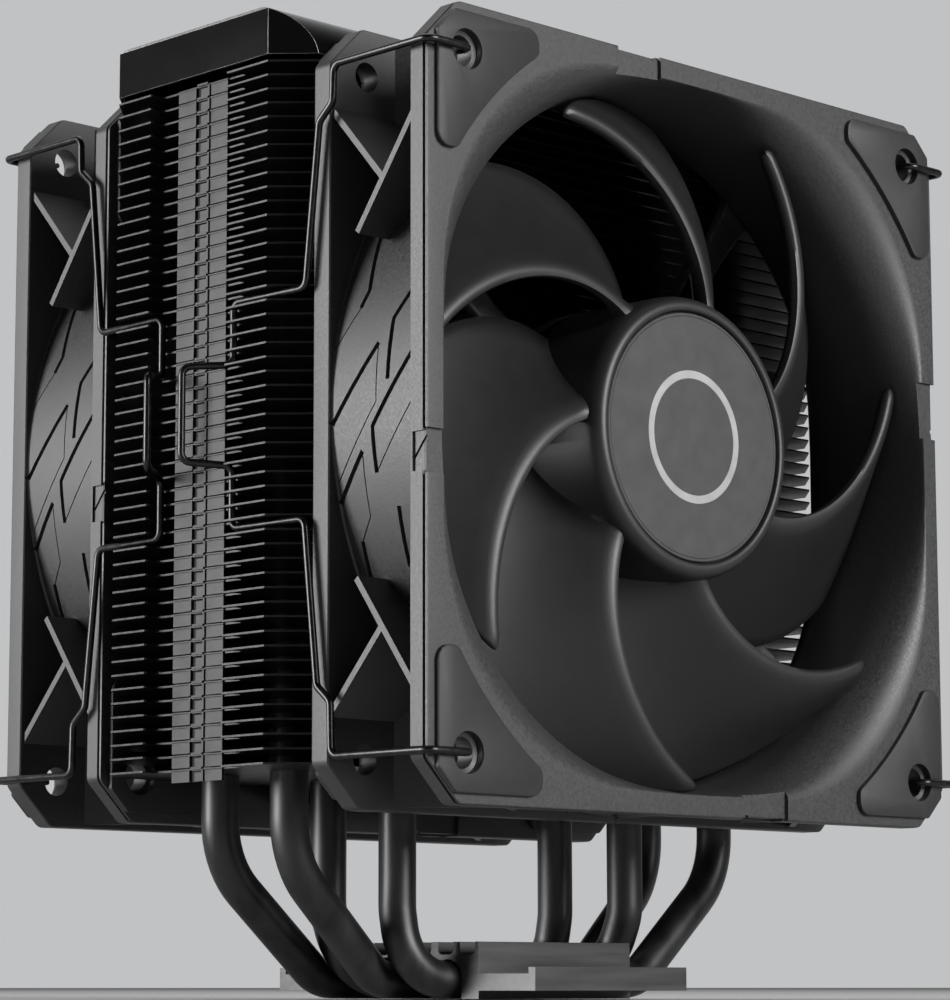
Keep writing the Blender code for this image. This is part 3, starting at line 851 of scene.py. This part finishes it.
def make_fans():
    frame_shell = frame_mesh()
    rotor = rotor_mesh()
    badge = badge_mesh()
    pads = pad_meshes()
    for fan in ("front", "rear"):
        place = middle_of(f"{fan}_fan_frame")
        piece(
            f"{fan}_frame_moulding", frame_shell, ["frame"], "cooler",
            [f"{fan}_fan_frame"], place, weighted=True,
        )
        piece(
            f"{fan}_rotor_moulding", rotor, ["blade"], f"{fan}_rotor",
            [f"{fan}_impeller"], place,
        )
        piece(
            f"{fan}_hub_disc", badge, ["badge"], f"{fan}_rotor",
            [f"{fan}_hub_badge"], place,
        )
        for (face, row, side), mesh in pads.items():
            piece(
                f"{fan}_{face}_cushion_{row}_{side}", mesh, ["rubber"], "cooler",
                [f"{fan}_{face}_pad_{row}_{side}"], place,
            )
        for node, look in INNER_LOOKS.items():
            mesh = NODES[f"{fan}_{node}"].data
            mesh.materials.clear()
            mesh.materials.append(LOOKS[look])


# -------- fins

# A fin in mm: half size and corner cut, the lobes by the clip's recess, the recess, the tabs.
FIN_X, FIN_Y, FIN_CUT = 63.5, 23.9, 5.6
LOBE_OUT, LOBE_IN, HOOK_END = 18.3, 10.1, 8.6
RECESS = 60.8
TAB_X, TAB_Y = 61.1, 6.0
TAB_INNER, TAB_LOW = 60.7, -1.86
FIN_HALF = 0.15
FIN_PACKS, FINS_IN_PACK = 5, 10
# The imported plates' half thickness: a pack's lowest fin lies this far above its box.
PLATE_HALF = 0.665
# A collar that grips the pipe and reaches the next fin: (radius, z).
PIPE_HOLE = 3.05
COLLAR = ((PIPE_HOLE, FIN_HALF), (PIPE_HOLE, 2.04), (3.3, 2.04), (3.4, FIN_HALF))
COLLAR_STEPS = 16
# A fin's faces: its coating, the painted highlights on its sideways edges and tabs, and the painted
# shade in the slot.
COATING, EDGE_HIGHLIGHT, TAB_HIGHLIGHT, SLOT_SHADE = range(4)
# One side's folded tabs and interlock: x from and to, y from and to, z from and to, and the outer
# face's look, a painted highlight or painted shade.
TABS = (
    (TAB_INNER, TAB_X, 1.75, TAB_Y, TAB_LOW, -0.05, TAB_HIGHLIGHT),
    (TAB_INNER, TAB_X, -TAB_Y, -1.8, TAB_LOW, -0.05, TAB_HIGHLIGHT),
    # A raised border, a tongue, the other border, a slot in painted shade and a bar in the gap
    # above.
    (TAB_INNER, TAB_X + 0.28, 1.4, 1.75, TAB_LOW, -0.05, TAB_HIGHLIGHT),
    (TAB_INNER, TAB_X + 0.2, -1.4, 0.25, TAB_LOW, -0.5, TAB_HIGHLIGHT),
    (TAB_INNER, TAB_X + 0.25, -1.8, -1.4, TAB_LOW, -0.05, TAB_HIGHLIGHT),
    (TAB_INNER, TAB_X - 0.15, -1.4, 1.4, TAB_LOW, -0.3, SLOT_SHADE),
    (60.9, TAB_X + 0.28, -1.4, 1.15, 0.05, 0.4, TAB_HIGHLIGHT),
)
# Where the pipes' legs pass: x of the outer and the inner ones, and y.
OUTER_X, INNER_X, LEG_Y = 49.3, 26.4, 8.2
PIPES_AT = [
    (sx * x, sy * LEG_Y) for x in (OUTER_X, INNER_X) for sx in (1, -1) for sy in (1, -1)
]


def mirrored_outline(quarter):
    upper = quarter + [(-x, y) for x, y in reversed(quarter)]
    return upper + [(x, -y) for x, y in reversed(upper)]


def highlight_or_coating(a, b):
    """Only the cut edges that face sideways carry a painted highlight; the others keep the coating.
    """
    return EDGE_HIGHLIGHT if abs(a[0]) > 60 and abs(a[0] - b[0]) < 0.5 else COATING


def fin_shape():
    """One thin fin at z = 0: its points in mm, and its faces with their finish."""
    points, faces = [], []

    def add(shell_points, shell_faces):
        start = len(points)
        points.extend(shell_points)
        faces.extend((tuple(i + start for i in face), look) for face, look in shell_faces)

    def slab(outline, holes, low, high):
        loops = [outline, *holes]
        corners = [corner for loop in loops for corner in loop]
        count = len(corners)
        flat = [[Vector((a, b, 0)) for a, b in loop] for loop in loops]
        shell = [(x, y, low) for x, y in corners] + [(x, y, high) for x, y in corners]
        sides = []
        for a, b, c in tessellate_polygon(flat):
            sides.append(((a, b, c), COATING))
            sides.append(((c + count, b + count, a + count), COATING))
        start = 0
        for loop in loops:
            for i in range(len(loop)):
                a, b = start + i, start + (i + 1) % len(loop)
                # Sideways cut edges get a painted highlight.
                look = highlight_or_coating(corners[a], corners[b])
                sides.append(((a, b, b + count, a + count), look))
            start += len(loop)
        add(shell, sides)

    def box(x0, x1, y0, y1, z0, z1, look, sign):
        corners = ((x0, y0), (x1, y0), (x1, y1), (x0, y1))
        shell = [(sign * x, y, z) for z in (z0, z1) for x, y in corners]
        # The tab's borders carry the edges' painted highlight, its outer face the given look.
        sides = [
            ((0, 1, 2, 3), EDGE_HIGHLIGHT), ((7, 6, 5, 4), EDGE_HIGHLIGHT), ((0, 4, 5, 1), EDGE_HIGHLIGHT),
            ((1, 5, 6, 2), look), ((2, 6, 7, 3), EDGE_HIGHLIGHT), ((3, 7, 4, 0), COATING),
        ]
        add(shell, sides)

    end = [(FIN_X, LOBE_OUT), (FIN_X - FIN_CUT, FIN_Y), (36, FIN_Y), (20, FIN_Y)]
    side = [(TAB_X, TAB_Y), (RECESS, TAB_Y + 0.15)]
    side += [(RECESS, LOBE_IN - 0.3), (RECESS + 0.3, LOBE_IN)]
    rear = side + [(FIN_X - 0.3, 9.9), (FIN_X, 10.2)] + end
    # The front lobes end in a small hook that overhangs the clip's recess.
    front = side + [(62.55, LOBE_IN), (62.65, HOOK_END), (FIN_X, HOOK_END)] + end
    back_half = rear + [(-x, y) for x, y in reversed(rear)]
    front_half = [(-x, -y) for x, y in front] + [(x, -y) for x, y in reversed(front)]
    outline = back_half + front_half
    holes = [circle(x, y, PIPE_HOLE, COLLAR_STEPS) for x, y in PIPES_AT]
    slab(outline, holes, -FIN_HALF, FIN_HALF)
    for x, y in PIPES_AT:
        shell = [
            (x + along, y + across, z)
            for radius, z in COLLAR
            for along, across in circle(0, 0, radius, COLLAR_STEPS)
        ]
        sides = []
        for i in range(len(COLLAR)):
            low, high = i * COLLAR_STEPS, (i + 1) % len(COLLAR) * COLLAR_STEPS
            for k in range(COLLAR_STEPS):
                after = (k + 1) % COLLAR_STEPS
                sides.append(((low + k, low + after, high + after, high + k), COATING))
        add(shell, sides)
    for sign in (1, -1):
        for bounds in TABS:
            box(*bounds, sign)
    return points, faces


def fin_mesh(pitch):
    """One pack of thin fins."""
    points, faces = fin_shape()
    all_points, all_faces, looks = [], [], []
    for k in range(FINS_IN_PACK):
        start = len(all_points)
        all_points += [(x * MM, y * MM, z * MM + k * pitch) for x, y, z in points]
        for face, look in faces:
            all_faces.append(tuple(i + start for i in face))
            looks.append(look)
    mesh = bpy.data.meshes.new("fins")
    mesh.from_pydata(all_points, [], all_faces)
    # The coating, then the painted highlights on edges and tabs, then the painted shade for the
    # slot.
    for look in ("fin", "fin_edge_highlight", "fin_tab_painted_highlight", "slot_shade"):
        mesh.materials.append(LOOKS[look])
    mesh.polygons.foreach_set("material_index", looks)
    return settled(mesh)


def make_fins():
    numbers = range(1, FIN_PACKS + 1)
    lows = [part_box(f"fin_pack_{number}")[0].z + PLATE_HALF * MM for number in numbers]
    mesh = fin_mesh((lows[1] - lows[0]) / FINS_IN_PACK)
    for number, low in zip(numbers, lows):
        piece(
            f"fins_{number}", mesh, [], "cooler", [f"fin_pack_{number}"],
            (0, 0, low),
        )


# -------- cover

# The cover in mm: its sheet, and where its long edges' curve has its middle.
SHEET = 0.7
ROLL_Y, ROLL_DROP = 14.5, 0.9
ROLL_STEPS = 16


def cover_mesh():
    """A folded sheet: flat top, rounded front and back, skirts that follow the fins."""
    low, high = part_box("top_cover")
    top, bottom = high.z / MM, low.z / MM
    middle_z = bottom - ROLL_DROP

    def solid(inset, floor):
        rise, reach = top - middle_z - inset, FIN_Y - ROLL_Y - inset
        first = math.asin(max(0, floor - middle_z) / rise)
        profile = [(ROLL_Y + reach, floor)]
        for k in range(ROLL_STEPS + 1):
            turn = first + (math.pi / 2 - first) * k / ROLL_STEPS
            profile.append((ROLL_Y + reach * math.cos(turn), middle_z + rise * math.sin(turn)))
        profile += [(-y, z) for y, z in reversed(profile)]
        roof = prism([(y * MM, z * MM) for y, z in profile], [], -70 * MM, 70 * MM, along_x)
        half, bend = FIN_X - inset, max(1.0 - inset, 0.3)
        across = [(-half, floor - 1), (half, floor - 1), (half, top - inset), (-half, top - inset)]
        across = softened(across, [0, 0, bend, bend], 6)
        sides = prism([(x * MM, z * MM) for x, z in across], [], -40 * MM, 40 * MM, along_y)
        slant = 0.4 * inset
        plan = [(half, LOBE_OUT - slant), (FIN_X - FIN_CUT - slant, FIN_Y - inset)]
        plan = [(x * MM, y * MM) for x, y in mirrored_outline(plan)]
        walls = prism(plan, [], (floor - 1) * MM, (top + 1) * MM, along_z)
        return combined([roof, sides, walls], "INTERSECT")

    mesh = combined([solid(0, bottom), solid(SHEET, bottom - 3)], "DIFFERENCE")
    mesh.materials.clear()
    for look in ("cover", "cover_highlight"):
        mesh.materials.append(LOOKS[look])
    for face in mesh.polygons:
        # Painted highlight on the rounded folds along both sides of the top.
        highlit = 0.12 < abs(face.normal.x) < 0.97 and face.normal.z > 0.2
        face.material_index = int(highlit and abs(face.center.x) > (FIN_X - 1.2) * MM)
    return mesh


# -------- pipes, base, clips

# The pipes in mm: radius, axis height in the base, and half the length that the base holds.
PIPE_RADIUS = 3.0
PIPE_LOW = 3.05
HELD = 17.4
# A leg's x and bend at its foot, then the knee's height and bend on outer and inner legs.
FOOT_X, FOOT_BEND = 26.5, 8
OUTER_KNEE, OUTER_BEND = 21, 14
INNER_KNEE, INNER_BEND = 14, 9
# Each pipe: x and y of its left and right leg, and y in the base.
PIPES = (
    ((-OUTER_X, LEG_Y), (INNER_X, LEG_Y), 10.35),
    ((-INNER_X, LEG_Y), (OUTER_X, LEG_Y), 3.45),
    ((-OUTER_X, -LEG_Y), (INNER_X, -LEG_Y), -3.45),
    ((-INNER_X, -LEG_Y), (OUTER_X, -LEG_Y), -10.35),
)
# The domed end of a leg: (distance from the end, share of the radius).
TIPS = ((0.0, 0.35), (0.35, 0.62), (0.9, 0.83), (1.7, 0.96), (2.6, 1.0))
PIPE_STEPS = 28


def pipe_route(left, right, base_y, top):
    """Down one leg, through the base and up the other."""

    def leg(x, y):
        knee = OUTER_KNEE if abs(x) == OUTER_X else INNER_KNEE
        return [(x, y, top), (x, y, knee), (math.copysign(FOOT_X, x), base_y, PIPE_LOW)]

    def bends(x):
        return [OUTER_BEND if abs(x) == OUTER_X else INNER_BEND, FOOT_BEND]

    corners = leg(*left) + leg(*right)[::-1]
    return rounded_route(corners, bends(left[0]) + bends(right[0])[::-1], math.radians(6))


def divided(route, base_y):
    """The route with extra points where the base presses the pipe flat below."""
    spots = (-HELD, -16.8, -16.2, -15.4, 0, 15.4, 16.2, 16.8, HELD)
    result = []
    for a, b in zip(route, route[1:]):
        result.append(a)
        if (b - a).length > 12 and abs(a.z - PIPE_LOW) < 0.1:
            result += [Vector((x, base_y, PIPE_LOW)) for x in spots if a.x < x < b.x]
    return result + [route[-1]]


def pipe_mesh(route, sizes):
    """A pipe of varying size, flush with the base's underside where the base holds it."""

    def section(i, direction):
        offset = direction * PIPE_RADIUS * sizes[i]
        point = route[i]
        held = abs(point.x) < HELD - 0.1 and abs(point.z - PIPE_LOW) < 0.1
        if held and offset.z < 0:
            power = 2 / (2 + 5 * min(1.0, (HELD - abs(point.x)) / 2))
            across, down = offset.y / PIPE_RADIUS, -offset.z / PIPE_RADIUS
            wide = math.copysign(PIPE_RADIUS * abs(across) ** power, across)
            offset = Vector((0, wide, -PIPE_RADIUS * down**power))
        return offset

    mesh = swept(route, PIPE_STEPS, section)
    mesh.transform(Matrix.Scale(MM, 4))
    return mesh


def make_pipes():
    for number, (left, right, base_y) in enumerate(PIPES, 1):
        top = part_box(f"heat_pipe_{number}")[1].z / MM
        route = pipe_route(left, right, base_y, top)
        start = [route[0] - Vector((0, 0, drop)) for drop, _ in TIPS]
        end = [route[-1] - Vector((0, 0, drop)) for drop, _ in reversed(TIPS)]
        inside = divided(route[1:-1], base_y)
        shares = [share for _, share in TIPS]
        sizes = shares + [1.0] * len(inside) + shares[::-1]
        piece(
            f"pipe_{number}", pipe_mesh(start + inside + end, sizes), ["pipe"], "cooler",
            [f"heat_pipe_{number}"],
        )


# The base block in mm: half length, its pipe grooves and their spacing.
BASE_HALF = 17.5
GROOVE, GROOVE_PITCH, GROOVE_STEPS = 3.2, 6.9, 14
# One side of its section, (y, z): the ear with its raised lip, then the block's edge.
EAR = ((17.5, 0), (17.5, 1.3), (30, 1.3), (30, 5), (28.5, 5), (28.5, 4), (17.5, 4), (17.5, 9))
# One of the channels along its top, (y from the middle, z), and how many there are.
CHANNEL = (
    (1.7, 9), (1.7, 7.8), (1.5, 7.3), (1.0, 7), (-1.0, 7), (-1.5, 7.3), (-1.7, 7.8), (-1.7, 9),
)
CHANNELS, CHANNEL_PITCH = 7, 5.0


def base_mesh():
    """The base block, one section along X."""
    under = []
    for k in range(len(PIPES)):
        y = (k - (len(PIPES) - 1) / 2) * GROOVE_PITCH
        arch = [math.pi * (1 - i / GROOVE_STEPS) for i in range(GROOVE_STEPS + 1)]
        under += [(y - GROOVE, 0)]
        under += [(y + GROOVE * math.cos(a), PIPE_LOW + GROOVE * math.sin(a)) for a in arch]
        under += [(y + GROOVE, 0)]
    over = []
    for k in range(CHANNELS):
        middle = ((CHANNELS - 1) / 2 - k) * CHANNEL_PITCH
        over += [(middle + y, z) for y, z in CHANNEL]
    left = [(-y, z) for y, z in reversed(EAR)]
    outline = [(y * MM, z * MM) for y, z in under + list(EAR) + over + left]
    return prism(outline, [], -BASE_HALF * MM, BASE_HALF * MM, along_x)


# A clip's wire in mm: radius, radius at its cut ends, and bends.
WIRE, WIRE_END, WIRE_BEND = 0.585, 0.44, 1.5
WIRE_STEPS = 14
# Heights of the fan's middle and of the finger loop's, and where the wire runs.
FAN_Z, LOOP_Z = 88.0, 89.1
CLIP_FACE, CLIP_SIDE = -51.85, -61.3
LOOP_ROOT_X, LOOP_X = -61.8, -68.3


def clip_corners():
    """The corners of the left front clip, from its top hooked end to its bottom one."""
    hook_z = FAN_Z + HOLE_AT
    upper = [
        (-HOLE_AT, CLIP_FACE + 3, hook_z), (-HOLE_AT, CLIP_FACE, hook_z),
        (CLIP_SIDE, CLIP_FACE, hook_z), (CLIP_SIDE, -31, hook_z),
        (CLIP_SIDE, -30.8, LOOP_Z + 45.5), (CLIP_SIDE, -27.8, LOOP_Z + 43),
        (CLIP_SIDE, -24.9, LOOP_Z + 17.66), (LOOP_ROOT_X, -8.7, LOOP_Z + 17.66),
        (LOOP_ROOT_X, -8.7, LOOP_Z + 7.9), (LOOP_X, -4.2, LOOP_Z + 7.4),
    ]
    lower = [(x, y, 2 * LOOP_Z - z) for x, y, z in reversed(upper)]
    # The lower hook follows the fan's holes, whose middle is a little below the loop's.
    drop = 2 * (LOOP_Z - FAN_Z)
    lower[-4:] = [(x, y, z - drop) for x, y, z in lower[-4:]]
    return upper + lower


def make_clips():
    corners = clip_corners()
    route = rounded_route(corners, [WIRE_BEND] * len(corners), math.radians(12))
    last = len(route) - 1
    for fan, sy in (("front", 1), ("rear", -1)):
        for side, sx in (("left", 1), ("right", -1)):
            placed = [Vector((sx * p.x, sy * p.y, p.z)) for p in route]
            mesh = swept(placed, WIRE_STEPS, lambda i, d: d * (WIRE if 0 < i < last else WIRE_END))
            mesh.transform(Matrix.Scale(MM, 4))
            clip = f"{fan}_{side}_clip"
            piece(f"{fan}_{side}_wire", mesh, ["wire"], f"{clip}_body", [clip])


# -------- stage

WORLD_DARK, WORLD_PALE = 0.03, 0.55
FLOOR_RADIUS = 4
# The middle of the object, which every light points at.
MIDDLE = (0, 0, 0.085)
# Each light: name, place, size in metres and power in watts.
LIGHTS = (
    ("key_left", (-1.35, 0.75, 0.28), 0.7, 32),
    ("key_right", (0.25, -1.36, 0.5), 0.7, 24),
    ("top", (0.25, 0.3, 1.5), 0.9, 5),
)


def area_light(name, place, size, power):
    data = bpy.data.lights.new(name, "AREA")
    data.shape = "SQUARE"
    data.size = size
    data.energy = power
    obj = bpy.data.objects.new(name, data)
    bpy.context.scene.collection.objects.link(obj)
    obj.location = place
    obj.rotation_euler = (Vector(MIDDLE) - Vector(place)).to_track_quat("-Z", "Y").to_euler()


def make_stage():
    bpy.ops.mesh.primitive_circle_add(
        vertices=96, radius=FLOOR_RADIUS, fill_type="NGON", location=(0, 0, -0.0002)
    )
    floor = bpy.context.object
    floor.name = "floor"
    floor.data.materials.append(
        surface("floor_paper", grey(0.45), 0.85, cloud=8, spread=0.01, grain=600, grain_depth=0.01)
    )
    world = bpy.data.worlds.new("studio")
    bpy.context.scene.world = world
    world.use_nodes = True
    tree = world.node_tree
    # Pale towards +Y and dark towards -Y, as in a studio with one bright wall.
    facing = tree.nodes.new("ShaderNodeVectorMath")
    facing.operation = "DOT_PRODUCT"
    facing.inputs[1].default_value = (0.5, 0.866, 0)
    tree.links.new(tree.nodes.new("ShaderNodeTexCoord").outputs["Generated"], facing.inputs[0])
    strength = ranged(tree, facing.outputs["Value"], WORLD_DARK, WORLD_PALE, -0.05, 0.8)
    strength.node.interpolation_type = "SMOOTHSTEP"
    background = tree.nodes["Background"]
    background.inputs["Color"].default_value = (0.97, 0.98, 1.0, 1)
    tree.links.new(strength, background.inputs["Strength"])
    for light in LIGHTS:
        area_light(*light)


# The main view: where the camera stands, its turn in degrees, its lens in mm and its shift.
CAMERA_AT = (-0.392675, -0.397816, 0.002)
YAW, PITCH, ROLL = 43.812, 8.394, -0.013
SENSOR, LENS = 36, 120.726
SHIFT_X, SHIFT_Y = 0.04363, -0.00859


def make_camera():
    """The main view, from just above the floor and looking up."""
    data = bpy.data.cameras.new("camera")
    camera = bpy.data.objects.new("camera", data)
    bpy.context.scene.collection.objects.link(camera)
    data.sensor_width = SENSOR
    data.lens = LENS
    data.shift_x = SHIFT_X
    data.shift_y = SHIFT_Y
    data.clip_start = 0.01
    data.clip_end = 50
    yaw, pitch, roll = (math.radians(angle) for angle in (YAW, PITCH, ROLL))
    camera.location = CAMERA_AT
    aim = Matrix.Rotation(-yaw, 4, "Z") @ Matrix.Rotation(math.pi / 2 + pitch, 4, "X")
    camera.rotation_euler = (aim @ Matrix.Rotation(roll, 4, "Z")).to_euler()
    bpy.context.scene.camera = camera


def main():
    make_camera()
    make_fans()
    make_fins()
    # The cover's bevelled edges take the painted highlight in its second slot.
    piece(
        "cover_sheet", cover_mesh(), ["cover"], "cooler", ["top_cover"],
        bevel=0.12, rim=1,
    )
    make_pipes()
    piece(
        "base_milling", base_mesh(), ["base"], "cooler", ["base_block"],
        bevel=0.25,
    )
    make_clips()
    make_stage()
    bpy.context.scene.view_settings.view_transform = "Standard"


main()
